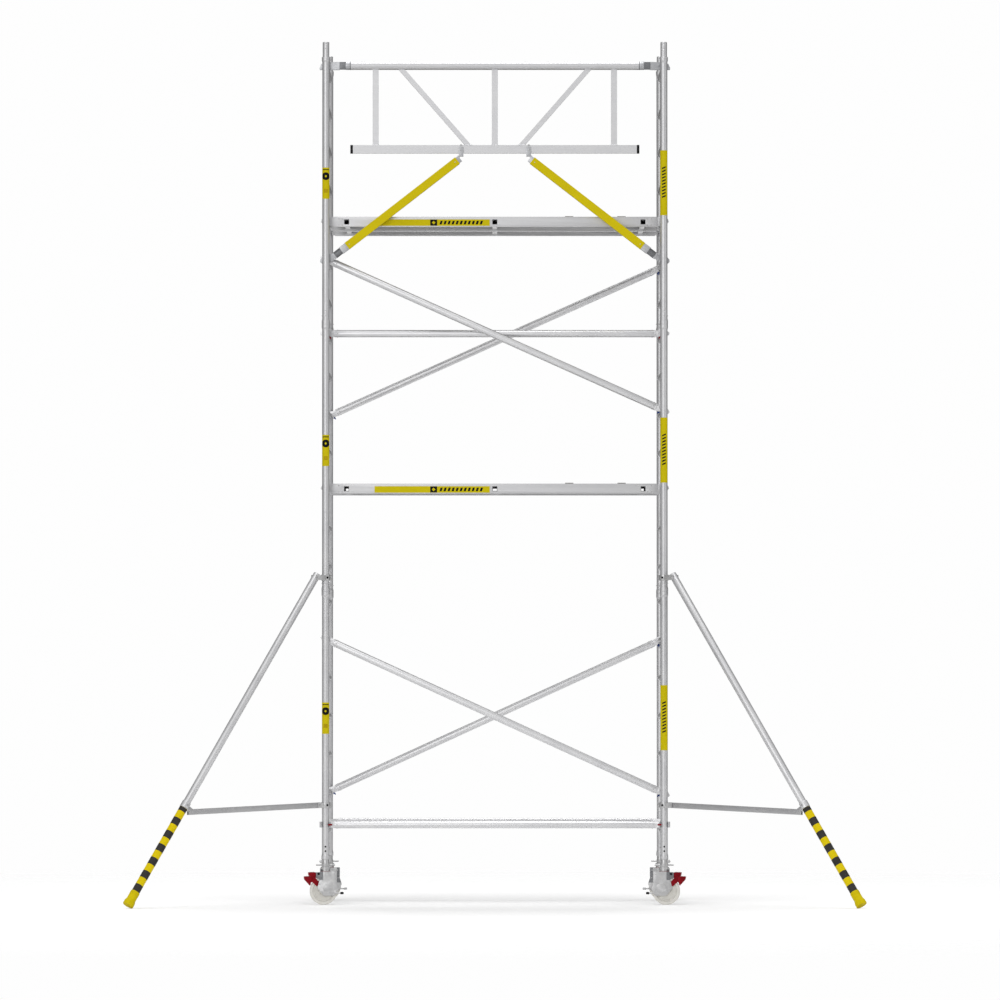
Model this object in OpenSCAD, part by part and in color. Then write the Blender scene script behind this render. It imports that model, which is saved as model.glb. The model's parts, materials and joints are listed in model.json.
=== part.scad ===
// Mobile tower scaffold: three stacked pairs of ladder frames on braked castors,
// with braces, platforms, a front guardrail and two outrigger stabilisers.
// Axes: +Z up, X along the tower, -Y is the front. Floor at z = 0. Millimetres.

/* [Node] */
// sub-part to draw

/* [Ladder frames] */
// distance between the left and right ladder frames, centre to centre
bay_length = 2450; // [1500:10:3200]
// distance between the two posts of a ladder frame, centre to centre
frame_width = 1300; // [700:10:1400]
// height of one ladder frame, shoulder to shoulder
frame_height = 1938; // [1000:1:2200]
// height of the lowest post ends above the floor
frame_base = 328; // [300:1:500]
// outside diameter of the posts
post_d = 53; // [48:0.5:60]
// wall thickness of the posts
post_wall = 2.2; // [1.5:0.1:4]
// outside diameter of the rungs
rung_d = 38; // [30:0.5:51]
// rung pitch
rung_pitch = 280; // [230:1:300]
// first rung above the post end
rung_first = 195; // [100:1:240]
// number of rungs per frame
rung_count = 7; // [4:1:8]
// length of the spigot above the shoulder
spigot_reach = 109; // [60:1:160]
// diameter of the swaged collars at the post ends
collar_d = 60; // [54:0.5:70]

/* [Braces] */
// outside diameter of the brace tubes
brace_d = 53; // [38:0.5:60]
// wall thickness of the brace tubes
brace_wall = 2.2; // [1.5:0.1:4]
// height of the lower horizontal braces
low_brace_z = 579; // [560:1:620]
// tube end to rung axis
brace_inset = 66; // [50:1:120]

/* [Platforms] */
// platform width
deck_w = 590; // [500:5:600]
// side beam height
beam_h = 72; // [50:1:100]
// side beam thickness
beam_t = 30; // [20:1:40]
// deck board thickness
board_t = 10; // [6:0.5:18]
// hatch length
hatch_l = 600; // [500:10:700]
// square cross tube size
cross_t = 35; // [25:1:45]

/* [Guardrail] */
// diameter of the top rail
toprail_d = 60; // [40:1:65]
// height of the knee rail
kneerail_h = 60; // [40:1:70]
// section of the yellow support legs
guard_leg_t = 57; // [40:1:60]

/* [Castors] */
// wheel diameter
wheel_d = 200; // [150:5:250]
// wheel width
wheel_w = 50; // [40:1:60]
// horizontal offset of the wheel from the swivel axis
wheel_trail = 15; // [10:1:40]
// diameter of the adjustable spindle
spindle_d = 38; // [30:0.5:44]
// length of the adjustable spindle above its flange
thread_l = 400; // [300:5:410]

/* [Stabilisers] */
// height of the upper clamp
stab_top_z = 2367; // [2100:1:2500]
// height of the lower clamp
stab_low_z = 720; // [680:1:780]
// angle of the stabilisers forward of the tower's long axis
stab_splay = 37.2; // [0:0.1:60]
// horizontal distance from the post to the foot
stab_reach = 1734; // [1200:1:2000]
// diameter of the upper leg tube
leg_d = 54; // [40:0.5:60]
// diameter of the striped sleeve
sleeve_d = 59; // [45:0.5:66]
// length of the striped sleeve above the boot
sleeve_l = 722; // [500:1:900]

/* [Hidden] */
$fn = 48;
gap = 0.1;
post_r = post_d / 2;
bore_r = post_r - post_wall;
rung_r = rung_d / 2;
brace_r = brace_d / 2;
xl = -bay_length / 2;
xr = bay_length / 2;
leg_a = 92;
strut_a = 65;
strut_h = 40;
strut_t = 20;
boot_r = 40;
boot_l = 114;
leg_angle = atan((stab_reach - leg_a) / (stab_top_z - 24));
foot_z = boot_r * sin(leg_angle);
leg_len = (stab_reach - leg_a) / sin(leg_angle);
foot_dy = stab_reach * sin(stab_splay)
    + boot_r * sqrt(1 - pow(sin(leg_angle) * sin(stab_splay), 2));
nut_arm = 69;
y_shift = (foot_dy - nut_arm) / 2;
yf = y_shift - frame_width / 2;
yr = y_shift + frame_width / 2;
pin_holes = [60, 92];
level_z = [frame_base, frame_base + frame_height, frame_base + 2 * frame_height];
function rung_z(level, i) = level_z[level] + rung_first + i * rung_pitch;
y_guard = yf + 46;
y_diag_low_front = yf + 48.5;
y_diag_high_front = yf + 81;
y_brace_high = yf + 137;
y_diag_rear = yr - 48.5;
y_deck1 = yf + 78;
y_deck2 = yf + 78 + deck_w + 6;
deck_rise = 29;
cross_x = [-1076, 0, 1076];
cross_drop = 20;
hatch_x0 = 430;
hatch_x1 = hatch_x0 + hatch_l;
top_rung = rung_z(2, 6);
guard_rung = rung_z(2, 1);
rail_end = 1045;
knee_drop = 603;
infill_top = 700;
infill_foot = 168;
swivel_z = 256;
axle_z = wheel_d / 2;
arm_y = 26.6;
arm_t = 2.4;

// ---------- shared shapes ----------

// round tube along +Z
module tube(r, wall, l) {
    difference() {
        cylinder(h = l, r = r);
        translate([0, 0, -1]) cylinder(h = l + 2, r = r - wall);
    }
}

// post with swaged collars at both ends and two cross holes near the foot
module post(l) {
    difference() {
        rotate_extrude() polygon([
            [bore_r, 0], [collar_d / 2 - 1, 0], [collar_d / 2, 1], [collar_d / 2, 24],
            [post_r, 40], [post_r, l - 40], [collar_d / 2, l - 24],
            [collar_d / 2, l - 1], [collar_d / 2 - 1, l], [bore_r, l]
        ]);
        for (z = pin_holes)
            translate([0, 0, z]) rotate([90, 0, 0]) cylinder(h = 90, r = 5, center = true);
    }
}

// rung between two posts, coped to the post walls
module rung(x, z) {
    difference() {
        translate([x, yf, z]) rotate([-90, 0, 0]) cylinder(h = frame_width, r = rung_r);
        for (y = [yf, yr])
            translate([x, y, z - 60]) cylinder(h = 120, r = post_r + gap);
        translate([x, yf - 1, z]) rotate([-90, 0, 0])
            cylinder(h = frame_width + 2, r = rung_r - 2.4);
    }
}

// spigot pinned into the top of a post
module spigot() {
    difference() {
        rotate_extrude() polygon([
            [bore_r - 3.2, -120], [bore_r - gap, -120], [bore_r - gap, 0],
            [bore_r - 0.4, 0.5], [bore_r - 0.4, spigot_reach - 3],
            [bore_r - 2, spigot_reach], [bore_r - 3.2, spigot_reach]
        ]);
        for (z = pin_holes)
            translate([0, 0, z]) rotate([90, 0, 0]) cylinder(h = 90, r = 5, center = true);
    }
}

// one ladder frame: two posts, the rungs and the two spigots
module ladder(x, z0) {
    for (y = [yf, yr]) {
        translate([x, y, z0]) post(frame_height - 0.2);
        translate([x, y, z0 + frame_height]) spigot();
    }
    for (i = [0 : rung_count - 1])
        rung(x, z0 + rung_first + i * rung_pitch);
}

// jaw of a brace claw in the XZ plane: tube axis at the origin, brace toward +X, mouth down
module jaw_profile(r, neck_h, inset) {
    nose = r < 20 ? 25 : 17;
    difference() {
        union() {
            circle(r = r + 10);
            polygon([
                [0, r + 10], [inset - 14, neck_h / 2], [inset, neck_h / 2],
                [inset, -neck_h / 2], [inset - 8, -neck_h / 2], [r + 12, -r - 4], [r - 2, -6]
            ]);
            polygon([
                [-r + 2, r + 6], [-r - 8, r + 1], [-r - nose, 6], [-r - nose + 3, -8],
                [-r - 8, -16], [-r - 2, -14]
            ]);
        }
        circle(r = r + gap);
        translate([-r - gap, -r - 60]) square([2 * r + 2 * gap, r + 60]);
    }
}

function stem_w(w) = w > 40 ? 11 : w - 16;

// brace claw with its plug, running toward +X and centred on Y
module claw(r, w, inset) {
    difference() {
        translate([0, w / 2, 0]) rotate([90, 0, 0]) linear_extrude(height = w)
            jaw_profile(r, 46, inset);
        translate([r + 4.8, -stem_w(w) / 2 - 0.2, -r - 30]) cube([10.4, stem_w(w) + 0.4, 38]);
    }
    translate([inset - 8, 0, 0]) rotate([0, 90, 0]) cylinder(h = 7.9, r = brace_r);
    translate([inset - 0.2, 0, 0]) rotate([0, 90, 0])
        cylinder(h = 40, r = brace_r - brace_wall - gap);
    for (s = [-1, 1])
        translate([r + 22, s * w / 2, 6]) rotate([90, 0, 0])
            cylinder(h = 3, r = 4.5, center = true);
}

// straight brace between two parallel bars a distance l apart, along +X from the origin
module brace(l, r, w) {
    translate([brace_inset, 0, 0]) rotate([0, 90, 0])
        tube(brace_r, brace_wall, l - 2 * brace_inset);
    claw(r, w, brace_inset);
    translate([l, 0, 0]) mirror([1, 0, 0]) claw(r, w, brace_inset);
}

// small finger trigger closing the mouth of a claw; the wide post claws have a flat one
module trigger(r, w) {
    t = stem_w(w);
    translate([r + 5, -t / 2, -r - 12]) cube([10, t, 18]);
    if (w > 40) {
        translate([r - 7, -t / 2, -r - 15]) cube([29, t, 7]);
    } else {
        translate([r + 1.6, -t / 2 - 2, -r - 14]) cube([16, t + 4, 8]);
        translate([r + 11, -t / 2 - 2, -r - 22]) cube([6.6, t + 4, 10]);
    }
}

module trigger_pair(l, r, w) {
    trigger(r, w);
    translate([l, 0, 0]) mirror([1, 0, 0]) trigger(r, w);
}

// placement of a brace from the left bar at height za to the right bar at height zb
module between_rungs(y, za, zb) {
    a = atan((za - zb) / bay_length);
    translate([xl, y, za]) rotate([0, a, 0]) children();
}

function slant(za, zb) = sqrt(bay_length * bay_length + (za - zb) * (za - zb));

// placement of a brace gripping the posts, mouth to the front (s = -1) or rear (s = 1)
module between_posts(y, z, s) {
    translate([xl, y, z]) rotate([s * 90, 0, 0]) children();
}

// ---------- platforms ----------

// hook over a rung in the XZ plane, beam toward +X, mouth down
module hook(r, w) {
    translate([0, w / 2, 0]) rotate([90, 0, 0]) linear_extrude(height = w) difference() {
        union() {
            circle(r = r + 8);
            polygon([[0, r + 8], [40, deck_rise - 4], [40, -38], [r + 4, -38], [r - 4, -10]]);
            polygon([[-r, r + 2], [-r - 14, r - 8], [-r - 19, -8], [-r - 8, -20], [-r - 1, -18]]);
        }
        circle(r = r + gap);
        translate([-r - gap, -r - 60]) square([2 * r + 2 * gap, r + 60]);
    }
    translate([39.8, -beam_t / 2 + 2.7, deck_rise - beam_h + 6])
        cube([44, beam_t - 5.4, beam_h - 12]);
}

module side_beam(y, z) {
    l = bay_length - 80.4;
    difference() {
        translate([-l / 2, y - beam_t / 2, z + deck_rise - beam_h]) cube([l, beam_t, beam_h]);
        translate([-l / 2 - 1, y - beam_t / 2 + 2.5, z + deck_rise - beam_h + 3])
            cube([l + 2, beam_t - 5, beam_h - 6]);
        for (x = cross_x)
            translate([x - cross_t / 2 - gap, y - 50, z + deck_rise - cross_drop - cross_t - gap])
                cube([cross_t + 2 * gap, 100, cross_t + 2 * gap]);
    }
}

// two side beams, three square cross tubes with battens on them, and four hooks
module deck_frame(y0, z) {
    ya = y0 + beam_t / 2;
    yb = y0 + deck_w - beam_t / 2;
    for (y = [ya, yb]) {
        side_beam(y, z);
        translate([xl, y, z]) hook(rung_r, beam_t - 2);
        translate([xr, y, z]) mirror([1, 0, 0]) hook(rung_r, beam_t - 2);
    }
    for (x = cross_x)
        difference() {
            translate([x - cross_t / 2, y0, z + deck_rise - cross_drop - cross_t])
                cube([cross_t, deck_w, cross_t]);
            translate([x - cross_t / 2 + 2.5, y0 - 1, z + deck_rise + 2.5 - cross_drop - cross_t])
                cube([cross_t - 5, deck_w + 2, cross_t - 5]);
        }
    for (x = cross_x)
        translate([x - cross_t / 2, y0 + beam_t + 1, z + deck_rise - cross_drop - 0.1])
            cube([cross_t, deck_w - 2 * beam_t - 2, cross_drop - 12]);
}

module hinge_knuckle(x, y, z, l) {
    translate([x, y, z]) rotate([0, 90, 0]) cylinder(h = l, r = 4.5);
}

// boards on the cross tubes, with the hatch way and its ledge when hatch is true
module deck_board(y0, z, hatch) {
    yi = y0 + beam_t + 1;
    wi = deck_w - 2 * beam_t - 2;
    zt = z + deck_rise - 2;
    difference() {
        union() {
            translate([-bay_length / 2 + 44, yi, zt - board_t])
                cube([bay_length - 88, wi, board_t]);
            if (hatch) translate([hatch_x0 - 26, yi + 8, zt - board_t - 4])
                cube([hatch_l + 52, wi - 16, 4.5]);
        }
        if (hatch) {
            translate([hatch_x0, yi + 24, zt - board_t - 0.1])
                cube([hatch_l, wi - 48, board_t + 1]);
            translate([hatch_x0 + 14, yi + 38, zt - board_t - 20])
                cube([hatch_l - 28, wi - 76, 40]);
        }
    }
    if (hatch) for (x = [hatch_x0 + 80, hatch_x1 - 140]) {
        translate([x, yi + 4, zt + 0.1]) cube([60, 12, 2]);
        difference() {
            union() {
                hinge_knuckle(x, yi + 20, zt + 5, 19.8);
                hinge_knuckle(x + 40.2, yi + 20, zt + 5, 19.8);
                translate([x, yi + 13, zt + 0.1]) cube([19.8, 6, 4.4]);
                translate([x + 40.2, yi + 13, zt + 0.1]) cube([19.8, 6, 4.4]);
            }
            translate([x - 1, yi + 20, zt + 5]) rotate([0, 90, 0]) cylinder(h = 62, r = 2.05);
        }
        translate([x, yi + 20, zt + 5]) rotate([0, 90, 0]) cylinder(h = 60, r = 2);
    }
}

// hinged hatch lid with hand slot and moving knuckles
module deck_hatch(y0, z) {
    yi = y0 + beam_t + 1;
    wi = deck_w - 2 * beam_t - 2;
    zt = z + deck_rise - 2;
    difference() {
        translate([hatch_x0 + 1.5, yi + 25.5, zt - board_t + 0.1])
            cube([hatch_l - 3, wi - 51, board_t - 0.1]);
        translate([hatch_x0 + hatch_l / 2 - 35, yi + wi - 90, zt - 20]) {
            cube([70, 34, 40]);
            translate([0, 17, 0]) cylinder(h = 40, r = 17);
            translate([70, 17, 0]) cylinder(h = 40, r = 17);
        }
    }
    for (x = [hatch_x0 + 80, hatch_x1 - 140]) {
        difference() {
            union() {
                hinge_knuckle(x + 20, yi + 20, zt + 5, 20);
                translate([x + 20, yi + 21, zt + 1.2]) cube([20, 30, 2.2]);
                translate([x + 20, yi + 26, zt - 1]) cube([20, 24, 2.5]);
            }
            translate([x + 19, yi + 20, zt + 5]) rotate([0, 90, 0]) cylinder(h = 22, r = 2.06);
        }
    }
}

// ---------- guardrail ----------

module rect_bar(x0, z0, x1, z1, w, d, y) {
    l = sqrt((x1 - x0) * (x1 - x0) + (z1 - z0) * (z1 - z0));
    a = atan2(z1 - z0, x1 - x0);
    translate([x0, y, z0]) rotate([0, -a, 0]) translate([0, -d / 2, -w / 2]) cube([l, d, w]);
}

knee_z = top_rung - knee_drop;
rail_z = top_rung + 4;

// slanted infill tube, cut level with the two rails
module infill(s) {
    intersection() {
        rect_bar(s * infill_top, rail_z, s * infill_foot, knee_z, 36, 30, y_guard);
        translate([-900, y_guard - 50, knee_z + kneerail_h / 2 + gap])
            cube([1800, 100, rail_z - toprail_d / 2 - gap - knee_z - kneerail_h / 2]);
    }
}

// ---------- castors ----------

// castor fork in its own frame: swivel axis at the origin, wheel trailing toward +X
module fork_shape() {
    for (s = [-1, 1]) {
        translate([0, s * 30.5 + 2.5, 0]) rotate([90, 0, 0]) linear_extrude(height = 5)
            polygon([
                [35, 241], [35, 236], [68, 234], [68, 198], [40, 182], [47, 166], [58, 122],
                [14, 66], [-68, 66], [-92, 118], [-76, 164], [-77, 184], [-77, 241]
            ]);
        translate([-18, s * 34, 122]) rotate([90, 0, 0])
            cylinder(h = 3, r = 35, center = true);
        translate([wheel_trail, s * 36, axle_z]) rotate([90, 0, 0])
            cylinder(h = 8, r = 15, $fn = 6, center = true);
    }
    difference() {
        union() {
            translate([-77, -32.9, 234]) cube([112, 65.8, 7]);
            translate([0, 0, 240]) cylinder(h = swivel_z - 0.1 - 240, r = 34);
        }
        translate([0, 0, 200]) cylinder(h = 80, r = 10.06);
    }
    translate([36, -32.9, 200]) cube([5, 65.8, 34]);
    translate([wheel_trail, 0, axle_z]) rotate([90, 0, 0]) cylinder(h = 72, r = 10, center = true);
    translate([-70, -32, 85]) rotate([0, -90, 0]) cylinder(h = 62, r = 5.5);
}

// one-piece nylon wheel with recessed web and hub
module wheel_shape() {
    r = wheel_d / 2;
    w = wheel_w / 2;
    translate([wheel_trail, 0, axle_z]) rotate([90, 0, 0]) rotate_extrude() polygon([
        [10.06, -w - 1.5], [26, -w - 1.5], [30, -w + 8], [r - 26, -w + 8], [r - 20, -w],
        [r - 5, -w], [r, -w + 6], [r, w - 6], [r - 5, w], [r - 20, w], [r - 26, w - 8],
        [30, w - 8], [26, w + 1.5], [10.06, w + 1.5]
    ]);
}

// brake pedal: tread plate over the wheel and two side arms inside the cheeks
module pedal_shape() {
    translate([0, 40, 0]) rotate([90, 0, 0]) linear_extrude(height = 80) polygon([
        [158, 204], [110, 206], [98, 198], [109, 141], [114, 139], [154, 183]
    ]);
    for (s = [-1, 1])
        translate([0, s * arm_y + arm_t / 2, 0]) rotate([90, 0, 0])
            linear_extrude(height = arm_t) difference() {
                union() {
                    polygon([[112, 206], [78, 197], [45, 165], [33, 143], [64, 134],
                        [96, 164], [106, 160]]);
                    translate([42, 152]) circle(r = 13);
                }
                translate([42, 152]) circle(r = 5.06);
            }
}

// pins of the pedal on the inside of the cheeks
module pedal_pin() {
    for (s = [-1, 1])
        translate([42, s * 27.5, 152]) rotate([90, 0, 0]) cylinder(h = 4.4, r = 5, center = true);
}

// threaded spindle with the swivel flange and king pin
module spindle_shape() {
    translate([0, 0, swivel_z]) cylinder(h = 17, r = 36);
    translate([0, 0, swivel_z + 17]) cylinder(h = thread_l, r = spindle_d / 2);
    translate([0, 0, 226]) cylinder(h = 31, r = 10);
    translate([0, 0, 216]) cylinder(h = 17.9, r = 17, $fn = 6);
}

// adjusting nut with four arms
module nut_shape() {
    difference() {
        union() {
            translate([0, 0, 273.1]) cylinder(h = 27, r = 28);
            translate([0, 0, 300]) cylinder(h = frame_base - 0.2 - 300, r = 25.5);
            translate([0, 0, 287]) rotate([0, 90, 0])
                cylinder(h = 2 * nut_arm, r = 5, center = true);
            translate([0, 0, 287]) rotate([90, 0, 0])
                cylinder(h = 2 * nut_arm, r = 5, center = true);
            translate([24, -9, 301]) cube([17, 18, 24]);
        }
        translate([0, 0, 270]) cylinder(h = 80, r = spindle_d / 2 + 0.06);
    }
}

// places a castor part at a post; i = 0 front left, 1 front right, 2 rear left, 3 rear right
module at_castor(i) {
    translate([i % 2 == 0 ? xl : xr, i < 2 ? yf : yr, 0])
        rotate([0, 0, i % 2 == 0 ? 180 : 0]) children();
}

// mirrored so that the lever side of every castor faces the front
module facing(i) {
    mirror([0, i % 2 == 0 ? 1 : 0, 0]) children();
}

// ---------- stabilisers ----------

// places a stabiliser part: post axis at the origin, leg toward +X
module at_stab(s) {
    translate([s * bay_length / 2, yf, 0])
        rotate([0, 0, s > 0 ? -stab_splay : 180 + stab_splay]) children();
}

// places parts on the leg: origin at the upper pivot, +Z down the leg
module on_leg() {
    translate([leg_a, 0, stab_top_z]) rotate([0, 180 - leg_angle, 0]) children();
}

// half coupler round the post with a fork toward +X: cheeks 6 thick, w apart, from web to arm
module post_clamp(z, web, arm, w) {
    translate([0, 0, z - 21]) {
        difference() {
            union() {
                cylinder(h = 42, r = post_r + 6);
                translate([post_r - 2, -w / 2 - 6, 3]) cube([web - post_r + 2, w + 12, 36]);
                for (y = [-w / 2 - 6, w / 2])
                    translate([web - 1, y, 3]) cube([arm - web + 1, 6, 36]);
                translate([-post_r - 20, -10, 3]) cube([20, 20, 36]);
            }
            translate([0, 0, -1]) cylinder(h = 44, r = post_r + 0.06);
            translate([-post_r - 22, -1.5, -1]) cube([24, 3, 44]);
        }
        translate([-post_r - 13, 0, 21]) rotate([90, 0, 0])
            cylinder(h = 30, r = 5, center = true);
        translate([-post_r - 13, -13, 21]) rotate([90, 0, 0])
            cylinder(h = 6, r = 9, $fn = 6, center = true);
    }
}

collar_t = leg_len - sleeve_l - boot_l;
strut_x = leg_a + (collar_t + 4) * sin(leg_angle) - 44 * cos(leg_angle);
strut_z = stab_top_z - (collar_t + 4) * cos(leg_angle) - 44 * sin(leg_angle);

module stab_clamps() {
    post_clamp(stab_top_z, 44, leg_a + 13, leg_d + 0.8);
    post_clamp(stab_low_z, 44, strut_a + 13, strut_t + 0.8);
}

// upper leg tube with end cap, collar and strut
module stab_leg() {
    on_leg() {
        translate([0, 0, -24]) tube(leg_d / 2, 2.2, collar_t + 24 + 500);
        translate([0, 0, -28]) cylinder(h = 3.9, r = leg_d / 2);
        translate([0, 0, collar_t - 52]) difference() {
            union() {
                cylinder(h = 50, r = leg_d / 2 + 5);
                translate([26, -12, 14]) cube([40, 24, 34]);
            }
            translate([0, 0, -1]) cylinder(h = 52, r = leg_d / 2 + gap);
        }
    }
    dx = strut_x - strut_a;
    dz = strut_z - stab_low_z;
    l = sqrt(dx * dx + dz * dz) + 13;
    translate([strut_a, 0, stab_low_z]) rotate([0, 90 - atan2(dz, dx), 0]) difference() {
        translate([-strut_h / 2, -strut_t / 2, -17]) cube([strut_h, strut_t, l]);
        translate([-strut_h / 2 + 2.4, -strut_t / 2 + 2.4, -18])
            cube([strut_h - 4.8, strut_t - 4.8, l + 2]);
    }
}

// striped sleeve that slides out along the leg
module stab_sleeve() {
    on_leg() translate([0, 0, collar_t]) tube(sleeve_d / 2, 2.4, sleeve_l + 40);
}

// flared rubber boot
module stab_boot() {
    on_leg() translate([0, 0, collar_t + sleeve_l]) rotate_extrude() polygon([
        [0, boot_l - 2], [0, 40.1], [sleeve_d / 2 + gap, 40.1], [sleeve_d / 2 + gap, 0],
        [sleeve_d / 2 + 3, 0], [sleeve_d / 2 + 4, 3], [sleeve_d / 2 + 4, boot_l - 50],
        [boot_r, boot_l - 28], [boot_r, boot_l], [boot_r - 6, boot_l], [boot_r - 7, boot_l - 2]
    ]);
}

// ---------- nodes ----------

module frame_l1() { color([0.78, 0.79, 0.8]) ladder(xl, level_z[0]); }
module frame_l2() { color([0.78, 0.79, 0.8]) ladder(xl, level_z[1]); }
module frame_l3() { color([0.78, 0.79, 0.8]) ladder(xl, level_z[2]); }
module frame_r1() { color([0.78, 0.79, 0.8]) ladder(xr, level_z[0]); }
module frame_r2() { color([0.78, 0.79, 0.8]) ladder(xr, level_z[1]); }
module frame_r3() { color([0.78, 0.79, 0.8]) ladder(xr, level_z[2]); }

module frame_clips() {
    color([0.6, 0.61, 0.63]) for (x = [xl, xr], y = [yf, yr], k = [1, 2])
        translate([x, y, level_z[k] + pin_holes[0]]) mirror([0, y == yr ? 1 : 0, 0]) {
            difference() {
                rotate_extrude() translate([post_r + 2.6, 0]) circle(r = 2.5);
                translate([-50, -50, -10]) cube([100, 44, 20]);
            }
            translate([0, post_r + 3, 0]) rotate([90, 0, 0]) cylinder(h = 2 * post_r + 2, r = 4.4);
            translate([0, post_r + 9, 0]) rotate([90, 0, 0]) cylinder(h = 8, r = 7);
        }
}

module brace_low_front() {
    color([0.78, 0.79, 0.8]) between_posts(yf, low_brace_z, -1) brace(bay_length, post_r, 42);
}
module brace_low_rear() {
    color([0.78, 0.79, 0.8]) between_posts(yr, low_brace_z, 1) brace(bay_length, post_r, 42);
}
module brace_high_front() {
    color([0.78, 0.79, 0.8])
        between_rungs(y_brace_high, rung_z(1, 6), rung_z(1, 6)) brace(bay_length, rung_r, 36);
}
module diag_low_front() {
    color([0.78, 0.79, 0.8]) between_rungs(y_diag_low_front, rung_z(0, 5), rung_z(0, 1))
        brace(slant(rung_z(0, 5), rung_z(0, 1)), rung_r, 36);
}
module diag_low_rear() {
    color([0.78, 0.79, 0.8]) between_rungs(y_diag_rear, rung_z(0, 1), rung_z(0, 5))
        brace(slant(rung_z(0, 5), rung_z(0, 1)), rung_r, 36);
}
module diag_high_front() {
    color([0.78, 0.79, 0.8]) between_rungs(y_diag_high_front, rung_z(2, 1), rung_z(1, 4))
        brace(slant(rung_z(2, 1), rung_z(1, 4)), rung_r, 36);
}
module diag_high_rear() {
    color([0.78, 0.79, 0.8]) between_rungs(y_diag_rear, rung_z(1, 4), rung_z(2, 1))
        brace(slant(rung_z(2, 1), rung_z(1, 4)), rung_r, 36);
}

module trig_low_front() {
    color([0.6, 0.05, 0.06])
        between_posts(yf, low_brace_z, -1) trigger_pair(bay_length, post_r, 42);
}
module trig_low_rear() {
    color([0.6, 0.05, 0.06])
        between_posts(yr, low_brace_z, 1) trigger_pair(bay_length, post_r, 42);
}
module trig_high_front() {
    color([0.6, 0.05, 0.06]) between_rungs(y_brace_high, rung_z(1, 6), rung_z(1, 6))
        trigger_pair(bay_length, rung_r, 36);
}
module trig_diag_low_front() {
    color([0.05, 0.15, 0.5]) between_rungs(y_diag_low_front, rung_z(0, 5), rung_z(0, 1))
        trigger_pair(slant(rung_z(0, 5), rung_z(0, 1)), rung_r, 36);
}
module trig_diag_low_rear() {
    color([0.05, 0.15, 0.5]) between_rungs(y_diag_rear, rung_z(0, 1), rung_z(0, 5))
        trigger_pair(slant(rung_z(0, 5), rung_z(0, 1)), rung_r, 36);
}
module trig_diag_high_front() {
    color([0.05, 0.15, 0.5]) between_rungs(y_diag_high_front, rung_z(2, 1), rung_z(1, 4))
        trigger_pair(slant(rung_z(2, 1), rung_z(1, 4)), rung_r, 36);
}
module trig_diag_high_rear() {
    color([0.05, 0.15, 0.5]) between_rungs(y_diag_rear, rung_z(1, 4), rung_z(2, 1))
        trigger_pair(slant(rung_z(2, 1), rung_z(1, 4)), rung_r, 36);
}

module deck_mid_frame() { color([0.74, 0.75, 0.76]) deck_frame(y_deck1, rung_z(1, 2)); }
module deck_mid_board() { color([0.35, 0.33, 0.3]) deck_board(y_deck1, rung_z(1, 2), true); }
module deck_mid_hatch() { color([0.4, 0.37, 0.33]) deck_hatch(y_deck1, rung_z(1, 2)); }
module deck_top_frame() { color([0.74, 0.75, 0.76]) deck_frame(y_deck1, rung_z(2, 2)); }
module deck_top_board() { color([0.35, 0.33, 0.3]) deck_board(y_deck1, rung_z(2, 2), true); }
module deck_top_hatch() { color([0.4, 0.37, 0.33]) deck_hatch(y_deck1, rung_z(2, 2)); }
module deck_rear_frame() { color([0.74, 0.75, 0.76]) deck_frame(y_deck2, rung_z(2, 2)); }
module deck_rear_board() { color([0.35, 0.33, 0.3]) deck_board(y_deck2, rung_z(2, 2), false); }

module guardrail_frame() {
    color([0.8, 0.81, 0.82]) {
        translate([-rail_end, y_guard, rail_z]) rotate([0, 90, 0])
            tube(toprail_d / 2, 2.4, 2 * rail_end);
        difference() {
            translate([-rail_end, y_guard - 16, knee_z - kneerail_h / 2])
                cube([2 * rail_end, 32, kneerail_h]);
            translate([-rail_end - 1, y_guard - 13.6, knee_z - kneerail_h / 2 + 2.4])
                cube([2 * rail_end + 2, 27.2, kneerail_h - 4.8]);
        }
        for (x = [-865, 0, 865])
            translate([x - 22, y_guard - 13, knee_z + kneerail_h / 2 + gap])
                difference() {
                    l = rail_z - knee_z - kneerail_h / 2 - gap;
                    cube([44, 26, l]);
                    translate([-50, 13, l]) rotate([0, 90, 0])
                        cylinder(h = 150, r = toprail_d / 2 + gap);
                }
        for (s = [-1, 1]) infill(s);
    }
}

guard_leg_x = 270;
guard_leg_z = knee_z - 81;
guard_aim = guard_rung - 25;
guard_leg_a = atan2(guard_leg_z - guard_aim, bay_length / 2 - guard_leg_x);
guard_leg_l = sqrt(pow(bay_length / 2 - guard_leg_x, 2) + pow(guard_leg_z - guard_aim, 2));
// distances of the rung axis from the leg's end point, along and across the leg
rung_along = -25 * sin(guard_leg_a);
rung_across = 25 * cos(guard_leg_a);

module guardrail_legs() {
    color([0.82, 0.73, 0.02]) for (s = [-1, 1])
        mirror([s > 0 ? 0 : 1, 0, 0]) translate([guard_leg_x, y_guard, guard_leg_z])
            rotate([0, guard_leg_a, 0]) difference() {
                translate([2, -guard_leg_t / 2, -guard_leg_t / 2])
                    cube([1014, guard_leg_t, guard_leg_t]);
                translate([1, -guard_leg_t / 2 + 2.5, -guard_leg_t / 2 + 2.5])
                    cube([1030, guard_leg_t - 5, guard_leg_t - 5]);
            }
}

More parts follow.
